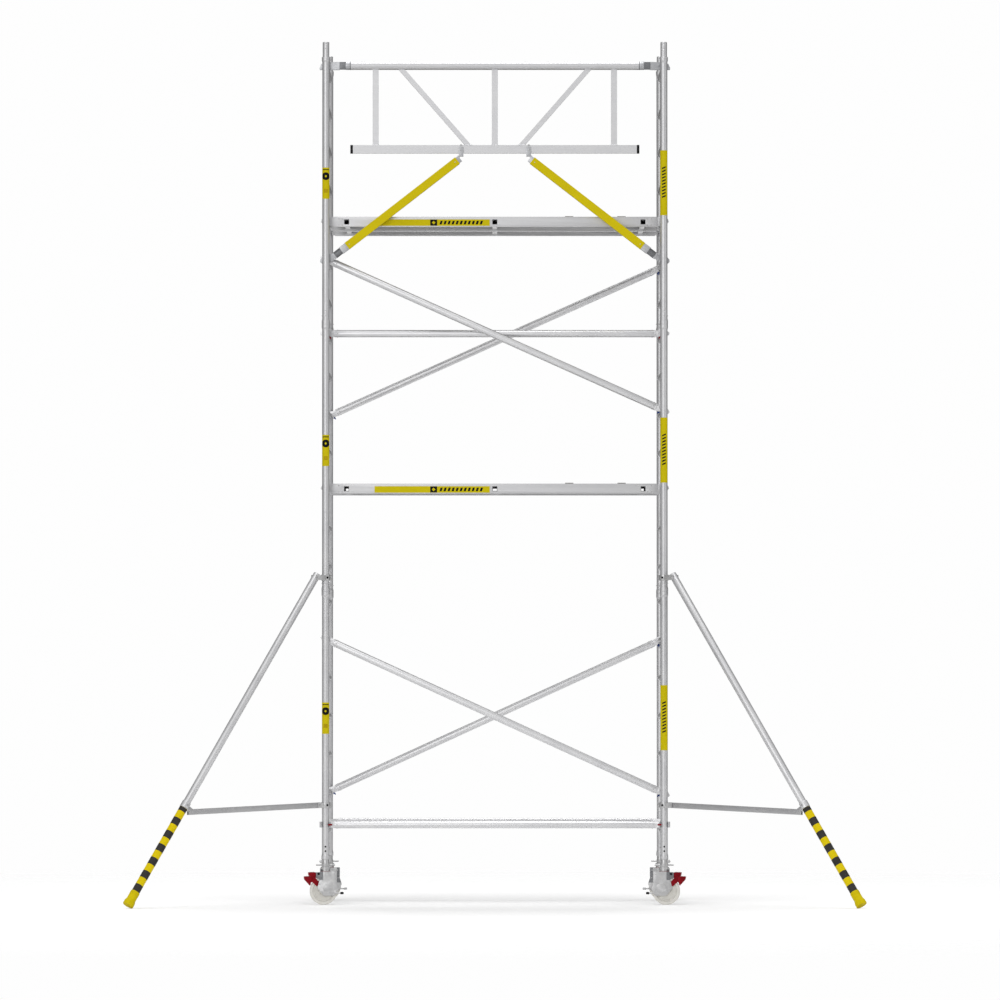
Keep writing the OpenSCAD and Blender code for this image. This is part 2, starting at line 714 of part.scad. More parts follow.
// claws of the top rail, brackets of the legs and claws of the legs
module guardrail_fittings() {
    color([0.62, 0.63, 0.65]) for (s = [-1, 1]) mirror([s > 0 ? 0 : 1, 0, 0]) {
        translate([xr, y_guard, top_rung]) mirror([1, 0, 0]) {
            translate([0, 15, 0]) rotate([90, 0, 0]) linear_extrude(height = 30) difference() {
                union() {
                    circle(r = rung_r + 9);
                    polygon([[0, 28], [100, 32], [100, -26], [rung_r + 6, -28], [rung_r, -10]]);
                    polygon([[-16, 22], [-34, 18], [-48, -14], [-46, -26], [-30, -26], [-20, -12]]);
                }
                circle(r = rung_r + gap);
                translate([-rung_r - gap, -80]) square([2 * rung_r + 2 * gap, 80]);
            }
            translate([98, -26, -22]) cube([46, 52, 52]);
            translate([143, 0, 4]) rotate([0, 90, 0]) cylinder(h = 36.9, r = 30);
            translate([179, 0, 4]) rotate([0, 90, 0]) cylinder(h = 40, r = 27.4);
        }
        translate([245 - 17, y_guard - 22, knee_z - 46]) cube([34, 5.9, 62]);
        translate([245 - 17, y_guard - 19.9, knee_z - 52]) cube([34, 39.8, 21.9]);
        translate([255, y_guard - 16, knee_z - 96]) cube([16, 32, 50]);
        translate([guard_leg_x, y_guard, guard_leg_z]) rotate([0, guard_leg_a, 0]) {
            translate([-22, -20, -23]) cube([24, 40, 46]);
            translate([1, -25.9, -25.9]) cube([40, 51.8, 51.8]);
            translate([guard_leg_l, 0, 0]) mirror([1, 0, 0]) {
                difference() {
                    translate([0, 15, 0]) rotate([90, 0, 0]) linear_extrude(height = 30) union() {
                        translate([-rung_along, rung_across]) difference() {
                            union() {
                                circle(r = rung_r + 11);
                                polygon([[-17, 25], [-36, 22], [-47, 8], [-44, -8],
                                    [-32, -15], [-21, -14]]);
                            }
                            circle(r = rung_r + gap);
                            translate([-rung_r - gap, -80]) square([2 * rung_r + 2 * gap, 80]);
                        }
                        difference() {
                            polygon([[8, 52], [40, 44], [68.5, 24], [68.5, -15], [38, -22], [22, 6]]);
                            translate([-rung_along, rung_across]) circle(r = rung_r + gap);
                        }
                    }
                    translate([-rung_along - rung_r - gap, -60, -60 + rung_across])
                        cube([2 * rung_r + 2 * gap, 120, 60]);
                }
                translate([68, -20, -22]) cube([16, 40, 44]);
                translate([83, 0, 0]) rotate([0, 90, 0]) cylinder(h = 60, r = 25);
                translate([140, -27, -27]) cube([guard_leg_l - 1016 - 140.2, 54, 54]);
                translate([guard_leg_l - 1016.4, -24, -24]) cube([46, 48, 48]);
            }
        }
    }
}

module spindle_at(i) { color([0.68, 0.69, 0.71]) at_castor(i) spindle_shape(); }
module nut_at(i) { color([0.64, 0.65, 0.67]) at_castor(i) nut_shape(); }
module fork_at(i) {
    color([0.68, 0.69, 0.71]) at_castor(i) facing(i) {
        fork_shape();
        pedal_pin();
    }
}
module wheel_at(i) { color([0.88, 0.85, 0.78]) at_castor(i) wheel_shape(); }
module pedal_at(i) { color([0.55, 0.03, 0.06]) at_castor(i) facing(i) pedal_shape(); }

module spindle_fl() { spindle_at(0); }
module spindle_fr() { spindle_at(1); }
module spindle_rl() { spindle_at(2); }
module spindle_rr() { spindle_at(3); }
module nut_fl() { nut_at(0); }
module nut_fr() { nut_at(1); }
module nut_rl() { nut_at(2); }
module nut_rr() { nut_at(3); }
module fork_fl() { fork_at(0); }
module fork_fr() { fork_at(1); }
module fork_rl() { fork_at(2); }
module fork_rr() { fork_at(3); }
module wheel_fl() { wheel_at(0); }
module wheel_fr() { wheel_at(1); }
module wheel_rl() { wheel_at(2); }
module wheel_rr() { wheel_at(3); }
module pedal_fl() { pedal_at(0); }
module pedal_fr() { pedal_at(1); }
module pedal_rl() { pedal_at(2); }
module pedal_rr() { pedal_at(3); }

module stab_clamps_l() { color([0.66, 0.67, 0.69]) at_stab(-1) stab_clamps(); }
module stab_leg_l() { color([0.78, 0.79, 0.8]) at_stab(-1) stab_leg(); }
module stab_sleeve_l() { color([0.82, 0.73, 0.02]) at_stab(-1) stab_sleeve(); }
module stab_boot_l() { color([0.82, 0.73, 0.02]) at_stab(-1) stab_boot(); }
module stab_clamps_r() { color([0.66, 0.67, 0.69]) at_stab(1) stab_clamps(); }
module stab_leg_r() { color([0.78, 0.79, 0.8]) at_stab(1) stab_leg(); }
module stab_sleeve_r() { color([0.82, 0.73, 0.02]) at_stab(1) stab_sleeve(); }
module stab_boot_r() { color([0.82, 0.73, 0.02]) at_stab(1) stab_boot(); }

frame_l1();
frame_l2();
frame_l3();
frame_r1();
frame_r2();
frame_r3();
frame_clips();
brace_low_front();
brace_low_rear();
brace_high_front();
diag_low_front();
diag_low_rear();
diag_high_front();
diag_high_rear();
trig_low_front();
trig_low_rear();
trig_high_front();
trig_diag_low_front();
trig_diag_low_rear();
trig_diag_high_front();
trig_diag_high_rear();
deck_mid_frame();
deck_mid_board();
deck_mid_hatch();
deck_top_frame();
deck_top_board();
deck_top_hatch();
deck_rear_frame();
deck_rear_board();
guardrail_frame();
guardrail_legs();
guardrail_fittings();
spindle_fl();
spindle_fr();
spindle_rl();
spindle_rr();
nut_fl();
nut_fr();
nut_rl();
nut_rr();
fork_fl();
fork_fr();
fork_rl();
fork_rr();
wheel_fl();
wheel_fr();
wheel_rl();
wheel_rr();
pedal_fl();
pedal_fr();
pedal_rl();
pedal_rr();
stab_clamps_l();
stab_leg_l();
stab_sleeve_l();
stab_boot_l();
stab_clamps_r();
stab_leg_r();
stab_sleeve_r();
stab_boot_r();
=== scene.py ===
import json
import math

import bmesh
import bpy
from mathutils import Matrix, Vector

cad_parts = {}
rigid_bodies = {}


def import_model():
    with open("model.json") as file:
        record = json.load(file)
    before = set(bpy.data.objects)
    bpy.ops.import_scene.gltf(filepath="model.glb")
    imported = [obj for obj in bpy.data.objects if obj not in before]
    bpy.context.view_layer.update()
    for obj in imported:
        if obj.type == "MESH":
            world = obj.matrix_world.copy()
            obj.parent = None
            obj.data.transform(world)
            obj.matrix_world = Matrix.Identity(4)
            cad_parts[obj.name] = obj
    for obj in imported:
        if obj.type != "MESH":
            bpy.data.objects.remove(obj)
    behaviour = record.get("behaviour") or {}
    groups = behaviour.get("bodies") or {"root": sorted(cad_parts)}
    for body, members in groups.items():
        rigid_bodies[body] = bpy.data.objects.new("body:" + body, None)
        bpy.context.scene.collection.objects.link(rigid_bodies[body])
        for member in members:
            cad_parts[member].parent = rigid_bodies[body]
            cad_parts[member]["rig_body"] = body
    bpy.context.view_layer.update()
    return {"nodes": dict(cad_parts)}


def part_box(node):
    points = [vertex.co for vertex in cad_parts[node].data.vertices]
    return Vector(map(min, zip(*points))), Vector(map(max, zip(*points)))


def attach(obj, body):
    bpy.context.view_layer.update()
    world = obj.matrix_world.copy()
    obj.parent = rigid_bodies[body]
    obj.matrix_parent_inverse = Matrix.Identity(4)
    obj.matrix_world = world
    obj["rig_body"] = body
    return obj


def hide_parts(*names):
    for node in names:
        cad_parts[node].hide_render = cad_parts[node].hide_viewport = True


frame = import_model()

NODES = frame["nodes"]
MM = 0.001
SIDES = ("l", "r")
CORNERS = ("fl", "fr", "rl", "rr")

# ------------------------------------------------------------ measures from the frame, in metres

POST_R = 26.5 * MM
COLLAR_R = 30 * MM
RUNG_R = 19 * MM
BRACE_R = 26.5 * MM
BRACE_INSET = 66 * MM
DECK_W = 590 * MM
BOARD_TOP = 27 * MM         # above the axis of the rung that carries the deck
HATCH_EDGE, HATCH_W = 31 * MM, 528 * MM
HATCH_HINGE_X, HATCH_MID_X = (540 * MM, 920 * MM), 730 * MM
LOW_BRACE_Z = 579 * MM
CROSS_X = (-1076 * MM, 0.0, 1076 * MM)
UPRIGHT_X = (-865 * MM, 0.0, 865 * MM)
INFILL_TOP_X, INFILL_FOOT_X = 700 * MM, 168 * MM
RUNG_FIRST = 195 * MM
RUNG_PITCH = 280 * MM
RUNG_COUNT = 7

frame_low, frame_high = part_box("frame_r1")
X_POST = (frame_low.x + frame_high.x) / 2
Y_FRONT = frame_low.y + COLLAR_R
Y_REAR = frame_high.y - COLLAR_R
Y_MID = (Y_FRONT + Y_REAR) / 2
LEVEL_Z = [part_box(f"frame_r{k}")[0].z for k in (1, 2, 3)]
PLANE = {
    "guard": Y_FRONT + 46 * MM,
    "diag_low_front": Y_FRONT + 48.5 * MM,
    "diag_high_front": Y_FRONT + 81 * MM,
    "brace_high_front": Y_FRONT + 137 * MM,
    "diag_rear": Y_REAR - 48.5 * MM,
    "deck_1": Y_FRONT + 78 * MM,
    "deck_2": Y_FRONT + 674 * MM,
}


def rung_z(level, i):
    return LEVEL_Z[level] + RUNG_FIRST + i * RUNG_PITCH


TOP_RUNG = rung_z(2, 6)
RAIL_Z = TOP_RUNG + 4 * MM
KNEE_Z = TOP_RUNG - 603 * MM

# ---------------------------------------------------------------- placing


def move(x=0.0, y=0.0, z=0.0):
    return Matrix.Translation((x, y, z))


def turn(axis, degrees):
    return Matrix.Rotation(math.radians(degrees), 4, axis)


def along(start, end):
    """Placement with its origin at start and +X towards end, in the XZ plane."""
    start, end = Vector(start), Vector(end)
    d = end - start
    return Matrix.Translation(start) @ turn("Y", -math.degrees(math.atan2(d.z, d.x)))


FACE_FRONT = turn("X", 90)     # +Z of a part to -Y
FACE_REAR = turn("X", -90)     # +Z of a part to +Y


def at_castor(i):
    """Castor i in its own frame: swivel axis at the origin, the wheel trailing to +X."""
    m = move(-X_POST if i % 2 == 0 else X_POST, Y_FRONT if i < 2 else Y_REAR)
    return m @ (turn("Z", 180) if i % 2 == 0 else Matrix.Identity(4))


STAB_SPLAY = 37.2
STAB_TOP = 2367 * MM
STAB_LOW = 720 * MM
STAB_PIVOT = 92 * MM
STAB_REACH = 1734 * MM
STAB_BOOT_L = 114 * MM
STAB_SLEEVE_L = 722 * MM
STAB_ANGLE = math.degrees(math.atan2(STAB_REACH - STAB_PIVOT, STAB_TOP - 24 * MM))
STAB_LEG_L = (STAB_REACH - STAB_PIVOT) / math.sin(math.radians(STAB_ANGLE))
STAB_COLLAR = STAB_LEG_L - STAB_SLEEVE_L - STAB_BOOT_L


def at_stab(side):
    """Stabiliser in its own frame: post axis at the origin, the leg going to +X."""
    s = -1 if side == "l" else 1
    angle = -STAB_SPLAY if s > 0 else 180 + STAB_SPLAY
    return move(s * X_POST, Y_FRONT) @ turn("Z", angle)


def on_leg(side):
    """Origin at the upper pivot, +Z down the leg."""
    return at_stab(side) @ move(STAB_PIVOT, 0, STAB_TOP) @ turn("Y", 180 - STAB_ANGLE)


# ---------------------------------------------------------------- mesh making


class Piece:
    """Gathers the faces of one piece. Every call places its shape with the matrix m."""

    def __init__(self, name, body, slot=None):
        self.name, self.body, self.slot = name, body, slot
        self.bm = bmesh.new()

    def rows(self, rows, loop=True, mat=0):
        """Faces between closed rows of points; loop joins the last row to the first."""
        rings = [[self.bm.verts.new(p) for p in row] for row in rows]
        count, width = len(rings), len(rings[0])
        for a in range(count if loop else count - 1):
            b = (a + 1) % count
            for i in range(width):
                j = (i + 1) % width
                corners = [rings[a][i], rings[a][j], rings[b][j], rings[b][i]]
                self.bm.faces.new(corners).material_index = mat
        return rings

    def lathe(self, profile, m, segments=32, mat=0, solid=True):
        """Turns (radius, height) points about m's Z; a solid profile closes through its axis."""
        rows = []
        for r, z in profile:
            steps = (2 * math.pi * k / segments for k in range(segments))
            rows.append([m @ Vector((r * math.cos(t), r * math.sin(t), z)) for t in steps])
        rings = self.rows(rows, loop=not solid, mat=mat)
        if solid:
            for ring in (rings[0], rings[-1]):
                self.bm.faces.new(ring).material_index = mat

    def ring(self, points, centre, radius, segments=8, ripple=0.0, ripples=0, mat=0):
        """A closed bead that follows points; ripple varies its thickness as a weld does."""
        count, centre, rows = len(points), Vector(centre), []
        for k, p in enumerate(points):
            t = (points[(k + 1) % count] - points[k - 1]).normalized()
            out = p - centre
            n = (out - t * out.dot(t)).normalized()
            b = t.cross(n)
            r = radius * (1 + ripple * math.sin(2 * math.pi * ripples * k / count))
            steps = (2 * math.pi * i / segments for i in range(segments))
            rows.append([p + n * (r * math.cos(a)) + b * (r * math.sin(a)) for a in steps])
        self.rows(rows, mat=mat)

    def prism(self, points, height, m, chamfer=0.0, mat=0):
        """A flat outline raised along m's Z, with an optional chamfered top edge."""
        cx = sum(p[0] for p in points) / len(points)
        cy = sum(p[1] for p in points) / len(points)
        size = max(math.hypot(x - cx, y - cy) for x, y in points)
        k = 1 - chamfer / size
        rows = [[m @ Vector((x, y, 0)) for x, y in points],
                [m @ Vector((x, y, height - chamfer)) for x, y in points]]
        if chamfer:
            rows.append([m @ Vector((cx + (x - cx) * k, cy + (y - cy) * k, height))
                         for x, y in points])
        rings = self.rows(rows, loop=False, mat=mat)
        for ring in (rings[0], rings[-1]):
            self.bm.faces.new(ring).material_index = mat

    def shell(self, radius, thickness, point, nu, nv, m, mat=0):
        """A thin closed skin on a cylinder about m's Z; point(u, v) gives (angle, height)."""
        def grid(r):
            out = []
            for a in range(nu + 1):
                row = []
                for b in range(nv + 1):
                    t, z = point(a / nu, b / nv)
                    row.append(m @ Vector((r * math.sin(t), -r * math.cos(t), z)))
                out.append(row)
            return out
        rows = [inner + outer[::-1]
                for inner, outer in zip(grid(radius), grid(radius + thickness))]
        rings = self.rows(rows, loop=False, mat=mat)
        for ring in (rings[0], rings[-1]):
            for b in range(nv):
                face = [ring[b], ring[b + 1], ring[-2 - b], ring[-1 - b]]
                self.bm.faces.new(face).material_index = mat

    def disc(self, radius, thickness, z, half_height, half_angle, m, mat=0, steps=40):
        """A thin closed disc on a cylinder about m's Z, as rings round its middle."""
        rows = []
        sizes = [0.04 + 0.08 * k for k in range(13)]
        for r, scales in ((radius, sizes), (radius + thickness, sizes[::-1])):
            for k in scales:
                row = []
                for i in range(steps):
                    t = 2 * math.pi * i / steps
                    a = half_angle * k * math.cos(t)
                    row.append(m @ Vector((r * math.sin(a), -r * math.cos(a),
                                           z + half_height * k * math.sin(t))))
                rows.append(row)
        rings = self.rows(rows, loop=False, mat=mat)
        for ring in (rings[0], rings[-1]):
            self.bm.faces.new(ring).material_index = mat

    def done(self, *materials, sharp=40):
        bmesh.ops.recalc_face_normals(self.bm, faces=self.bm.faces[:])
        mesh = bpy.data.meshes.new(self.name)
        self.bm.to_mesh(mesh)
        self.bm.free()
        finish_piece(self.name, mesh, self.body, materials, sharp)


def finish_piece(name, mesh, body, materials, sharp=40):
    for polygon in mesh.polygons:
        polygon.use_smooth = True
    mesh.set_sharp_from_angle(angle=math.radians(sharp))
    for material in materials:
        mesh.materials.append(material)
    obj = bpy.data.objects.new(name, mesh)
    bpy.context.scene.collection.objects.link(obj)
    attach(obj, body)
    return obj


def softened(node, width, materials, paint=None, cuts=()):
    """A copy of a CAD node with its sharp edges eased by width, which stands for the node.
    cuts are planes (point, normal) that split faces; paint(face) picks a face's material."""
    source = NODES[node].data
    bm = bmesh.new()
    for v in source.vertices:
        bm.verts.new(v.co)
    bm.verts.ensure_lookup_table()
    for p in source.polygons:
        corners = [bm.verts[i] for i in p.vertices]
        if bm.faces.get(corners) is None:
            bm.faces.new(corners)
    bmesh.ops.remove_doubles(bm, verts=bm.verts[:], dist=2e-6)
    bmesh.ops.dissolve_limit(bm, angle_limit=math.radians(0.6), verts=bm.verts[:],
                             edges=bm.edges[:], use_dissolve_boundaries=False)
    bm.normal_update()
    edges = [e for e in bm.edges if e.is_manifold and e.calc_face_angle(0) > math.radians(32)]
    bmesh.ops.bevel(bm, geom=edges, offset=width, segments=2, profile=0.6,
                    affect="EDGES", clamp_overlap=True)
    for point, normal in cuts:
        geometry = bm.verts[:] + bm.edges[:] + bm.faces[:]
        bmesh.ops.bisect_plane(bm, geom=geometry, dist=1e-6, plane_co=point, plane_no=normal)
    mesh = bpy.data.meshes.new("eased_" + node)
    bm.to_mesh(mesh)
    bm.free()
    if paint:
        for polygon in mesh.polygons:
            polygon.material_index = paint(polygon)
    body = NODES[node]["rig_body"]
    obj = finish_piece("eased_" + node, mesh, body, materials, sharp=28)
    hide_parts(node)


def circle(radius, count):
    return [(radius * math.cos(2 * math.pi * k / count), radius * math.sin(2 * math.pi * k / count))
            for k in range(count)]


def in_mm(points):
    """Pairs given in millimetres, as metres."""
    return [(a * MM, b * MM) for a, b in points]


def box_outline(w, h):
    return [(-w / 2, -h / 2), (w / 2, -h / 2), (w / 2, h / 2), (-w / 2, h / 2)]


# ---------------------------------------------------------------- materials


def linear(colour):
    return tuple(((c / 255 + 0.055) / 1.055) ** 2.4 if c > 10 else c / 3294.6
                 for c in colour) + (1.0,)


class Surface:
    """A principled material built from object coordinates, in metres."""

    def __init__(self, name, **sockets):
        self.mat = bpy.data.materials.new(name)
        self.mat.use_nodes = True
        self.tree = self.mat.node_tree
        self.shader = self.tree.nodes["Principled BSDF"]
        for key, value in sockets.items():
            self.shader.inputs[key.replace("_", " ")].default_value = value
        self.coords = self.tree.nodes.new("ShaderNodeTexCoord").outputs["Object"]

    def link(self, a, b):
        self.tree.links.new(a, b)

    def node(self, kind, inputs=None, **settings):
        n = self.tree.nodes.new("ShaderNode" + kind)
        for key, value in settings.items():
            setattr(n, key, value)
        for key, value in (inputs or {}).items():
            if isinstance(value, bpy.types.NodeSocket):
                self.link(value, n.inputs[key])
            else:
                n.inputs[key].default_value = value
        return n

    def noise(self, scale, detail=4.0, roughness=0.55, distortion=0.0):
        """Noise stretched by scale, a number or three, in cells per metre."""
        scale = scale if isinstance(scale, tuple) else (scale,) * 3
        mapped = self.node("Mapping", {"Vector": self.coords, "Scale": scale})
        return self.node("TexNoise", {
            "Vector": mapped.outputs["Vector"], "Scale": 1.0, "Detail": detail,
            "Roughness": roughness, "Distortion": distortion}).outputs["Fac"]

    def math(self, operation, a, b=0.0):
        return self.node("Math", {0: a, 1: b}, operation=operation).outputs[0]

    def remap(self, value, low, high, start=0.3, end=0.7):
        return self.node("MapRange", {
            "Value": value, "From Min": start, "From Max": end,
            "To Min": low, "To Max": high}).outputs["Result"]

    def mix(self, fac, a, b):
        n = self.node("Mix", data_type="RGBA")
        for key, value in zip((0, 6, 7), (fac, a, b)):
            if isinstance(value, bpy.types.NodeSocket):
                self.link(value, n.inputs[key])
            else:
                n.inputs[key].default_value = value
        return n.outputs[2]

    def axis(self, name):
        return self.node("SeparateXYZ", {"Vector": self.coords}).outputs[name]

    def colour(self, socket):
        self.link(socket, self.shader.inputs["Base Color"])

    def rough(self, socket):
        self.link(socket, self.shader.inputs["Roughness"])

    def bump(self, height, distance, strength=1.0):
        n = self.node("Bump", {"Height": height, "Distance": distance, "Strength": strength})
        self.link(n.outputs["Normal"], self.shader.inputs["Normal"])


def aluminium(name, light, dark, grain, rough=0.46, mask=None):
    """Drawn aluminium: die lines along the tube, cloudy oxide, a few darker handling marks."""
    s = Surface(name, Metallic=0.88, Specular_IOR_Level=0.3)
    lines = s.noise(grain, detail=3)
    if mask:
        other, low = mask
        inside = s.math("ABSOLUTE", s.math("SUBTRACT", s.axis("Y"), Y_MID))
        on_post = s.math("GREATER_THAN", inside, low)
        lines = s.node("Mix", {0: on_post, 2: lines, 3: s.noise(other, detail=3)}).outputs[0]
    cloud = s.noise(5.0, detail=4, roughness=0.5)
    marks = s.remap(s.noise(60.0, detail=6, roughness=0.7, distortion=0.4), 0, 1, 0.66, 0.78)
    base = s.mix(s.remap(cloud, 0, 1), linear(dark), linear(light))
    base = s.mix(s.math("MULTIPLY", marks, 0.16), base, linear([c * 0.8 for c in dark]))
    base = s.mix(s.remap(lines, 0, 0.16, 0.5, 0.75), base, linear([c * 0.9 for c in light]))
    s.colour(base)
    s.rough(s.math("ADD", s.remap(lines, rough - 0.04, rough + 0.06), s.remap(cloud, -0.03, 0.03)))
    s.bump(lines, 0.00005, 0.25)
    return s.mat


def plated(name, light, dark, rough=0.38, size=70.0):
    """Zinc plate with a fine spangle and duller patches."""
    s = Surface(name, Metallic=0.8, Specular_IOR_Level=0.4)
    mapped = s.node("Mapping", {"Vector": s.coords, "Scale": (size,) * 3})
    cells = s.node("TexVoronoi", {"Vector": mapped.outputs["Vector"], "Scale": 1.0,
                                  "Randomness": 1.0})
    patch = s.noise(22.0, detail=5)
    fine = s.noise(900.0, detail=2)
    spangle = s.node("SeparateColor", {0: cells.outputs["Color"]}).outputs[0]
    base = s.mix(s.remap(spangle, 0.15, 0.85, 0, 1), linear(dark), linear(light))
    base = s.mix(s.remap(patch, 0, 0.25, 0.5, 0.72), base, linear([c * 0.88 for c in dark]))
    s.colour(base)
    s.rough(s.math("ADD", s.remap(patch, rough - 0.04, rough + 0.07), s.remap(fine, -0.03, 0.03)))
    s.bump(s.math("ADD", fine, patch), 0.00008, 0.4)
    return s.mat


def painted(name, light, dark, rough=0.5):
    """Powder coat: orange peel, slight fading, dust in the broad noise."""
    s = Surface(name, Specular_IOR_Level=0.1)
    fade = s.noise(7.0, detail=4)
    peel = s.noise(420.0, detail=2)
    specks = s.remap(s.noise(150.0, detail=6, roughness=0.75), 0, 1, 0.68, 0.76)
    base = s.mix(s.remap(fade, 0, 1), linear(dark), linear(light))
    base = s.mix(s.math("MULTIPLY", specks, 0.35), base, linear([c * 0.6 for c in dark]))
    s.colour(base)
    s.rough(s.remap(peel, rough - 0.05, rough + 0.08))
    s.bump(peel, 0.00018, 0.35)
    return s.mat


def moulded(name, light, dark, rough=0.42, grain=650.0, bump=0.0001):
    """Moulded plastic or rubber: fine spark texture and slow colour drift."""
    s = Surface(name, Specular_IOR_Level=0.1)
    drift = s.noise(24.0, detail=3)
    fine = s.noise(grain, detail=3, roughness=0.6)
    scuff = s.remap(s.noise(110.0, detail=6, roughness=0.7, distortion=0.6), 0, 1, 0.64, 0.76)
    base = s.mix(s.remap(drift, 0, 1), linear(dark), linear(light))
    scuffed = linear([min(255, c * 0.8 + 30) for c in light])
    base = s.mix(s.math("MULTIPLY", scuff, 0.25), base, scuffed)
    s.colour(base)
    s.rough(s.math("ADD", s.remap(fine, rough - 0.05, rough + 0.08), s.remap(drift, -0.03, 0.03)))
    s.bump(fine, bump, 0.5)
    return s.mat


def deck_surface(name):
    """Film-faced board: raised hexagonal grip on top, plain film with faint grain below."""
    s = Surface(name, Coat_Weight=0.15, Coat_Roughness=0.35)
    up = s.node("SeparateXYZ", {"Vector": s.node("TexCoord").outputs["Normal"]}).outputs["Z"]
    top = s.math("GREATER_THAN", up, 0.5)
    mapped = s.node("Mapping", {"Vector": s.coords, "Scale": (1, 1, 0)})
    studs = s.node("TexVoronoi", {"Vector": mapped.outputs["Vector"], "Scale": 130.0,
                                  "Randomness": 0.08}, feature="DISTANCE_TO_EDGE")
    grip = s.remap(studs.outputs["Distance"], 0, 1, 0.05, 0.16)
    grain = s.noise((3.0, 60.0, 60.0), detail=5, distortion=0.8)
    cloud = s.noise(6.0, detail=5, roughness=0.65)
    above = s.mix(grip, linear((74, 71, 66)), linear((98, 94, 88)))
    above = s.mix(s.remap(cloud, 0, 0.5), above, linear((118, 112, 103)))
    below = s.mix(s.remap(grain, 0, 1), linear((139, 138, 136)), linear((158, 157, 154)))
    below = s.mix(s.remap(cloud, 0, 0.3), below, linear((126, 124, 121)))
    s.colour(s.mix(top, below, above))
    s.rough(s.remap(cloud, 0.5, 0.68))
    height = s.math("ADD", s.math("MULTIPLY", grip, top), s.math("MULTIPLY", grain, 0.06))
    s.bump(height, 0.0006, 0.8)
    return s.mat


POST_GRAIN, RUNG_GRAIN = (420.0, 420.0, 3.0), (420.0, 3.0, 420.0)
BRACE_GRAIN = (3.0, 420.0, 420.0)
LEG_GRAIN = (40.0, 40.0, 8.0)
M = {
    "frame": aluminium("tube_frame", (201, 201, 202), (191, 191, 193), RUNG_GRAIN,
                       mask=(POST_GRAIN, Y_REAR - Y_MID - 34 * MM)),
    "brace": aluminium("tube_brace", (216, 216, 217), (207, 207, 209), BRACE_GRAIN),
    "leg": aluminium("tube_leg", (212, 212, 213), (201, 201, 203), LEG_GRAIN),
    "strut": aluminium("tube_strut", (182, 182, 183), (170, 170, 172), LEG_GRAIN),
    "profile": aluminium("profile", (196, 196, 197), (189, 189, 191), BRACE_GRAIN, rough=0.5),
    "rail": aluminium("rail", (202, 202, 203), (195, 195, 197), BRACE_GRAIN, rough=0.5),
    # painted light: a near white copy of the tube for the cross tubes' undersides lit from the
    # floor
    "cross": aluminium("cross_tube_painted_light", (248, 248, 248), (240, 240, 241), RUNG_GRAIN, rough=0.6),
    "weld": aluminium("weld", (214, 214, 216), (192, 192, 195), (260.0,) * 3, rough=0.4),
    "zinc": plated("zinc", (190, 190, 190), (176, 176, 177)),
    "cast": plated("cast_fitting", (186, 187, 189), (166, 167, 170), rough=0.46, size=240.0),
    # a dark finish for the rail end rings and the fork lugs, also used as painted shade on the
    # guardrail fittings and the rear fork necks
    "dark_cast_and_shade": plated("dark_fitting_and_painted_shade", (132, 133, 135), (106, 107, 110), rough=0.5, size=240.0),
    "yellow": painted("yellow_coat", (201, 183, 0), (194, 176, 0)),
    "sleeve": moulded("yellow_sleeve", (213, 190, 2), (205, 182, 0), rough=0.5, grain=300.0),
    "tape": moulded("black_band", (56, 54, 52), (46, 44, 42), rough=0.55, grain=500.0),
    "boot": moulded("yellow_rubber", (201, 182, 2), (191, 172, 0), rough=0.62, grain=420.0,
                    bump=0.0002),
    "nylon": moulded("nylon_wheel", (212, 210, 204), (202, 200, 194), rough=0.5, grain=260.0),
    "hub": moulded("hub", (190, 188, 182), (168, 166, 160), rough=0.5),
    "dark_red": moulded("dark_red_plastic", (136, 4, 20), (106, 0, 12), rough=0.4),
    "blue": moulded("blue_plastic", (22, 56, 122), (12, 40, 96), rough=0.4),
    "black": moulded("black_plastic", (24, 24, 26), (14, 14, 16), rough=0.5),
    "label": painted("label_yellow", (195, 179, 0), (188, 172, 0)),
    "ink": painted("label_black", (12, 12, 12), (6, 6, 6)),
    "ochre": painted("label_ochre", (172, 148, 4), (160, 136, 2)),
    "deck": deck_surface("deck_board"),
}

# ---------------------------------------------------------------- CAD nodes that keep their mesh


def finish_node(node, material):
    data = NODES[node].data
    data.materials.clear()
    data.materials.append(M[material])


for side in SIDES:
    for level in (1, 2, 3):
        finish_node(f"frame_{side}{level}", "frame")
    finish_node(f"stab_sleeve_{side}", "sleeve")
for corner in CORNERS:
    finish_node(f"spindle_{corner}", "zinc")
    finish_node(f"wheel_{corner}", "nylon")
finish_node("frame_clips", "zinc")
finish_node("guardrail_legs", "yellow")
finish_node("guardrail_frame", "rail")

# ---------------------------------------------------------------- CAD nodes with eased edges

EASED = {
    "brace_low_front": (0.8, "brace", "aluminium_tube"),
    "brace_low_rear": (0.8, "brace", "aluminium_tube"),
    "brace_high_front": (0.8, "brace", "aluminium_tube"),
    "diag_low_front": (0.8, "brace", "aluminium_tube"),
    "diag_low_rear": (0.8, "brace", "aluminium_tube"),
    "diag_high_front": (0.8, "brace", "aluminium_tube"),
    "diag_high_rear": (0.8, "brace", "aluminium_tube"),
}
for name in ("low_front", "low_rear", "high_front"):
    EASED["trig_" + name] = (0.8, "dark_red", "red_plastic")
for name in ("low_front", "low_rear", "high_front", "high_rear"):
    EASED["trig_diag_" + name] = (0.8, "blue", "blue_plastic")
for name in ("mid", "top", "rear"):
    EASED[f"deck_{name}_board"] = (0.5, "deck", "deck_board")
for name in ("mid", "top"):
    EASED[f"deck_{name}_hatch"] = (0.5, "deck", "deck_board")
for corner in CORNERS:
    EASED["nut_" + corner] = (0.8, "zinc", "zinc_steel")
    EASED["pedal_" + corner] = (1.6, "dark_red", "dark_red_plastic")
for side in SIDES:
    EASED["stab_clamps_" + side] = (1.0, "zinc", "zinc_steel")
    EASED["stab_boot_" + side] = (1.5, "boot", "yellow_rubber")
for node, (width, material, slot) in EASED.items():
    softened(node, width * MM, [M[material]])

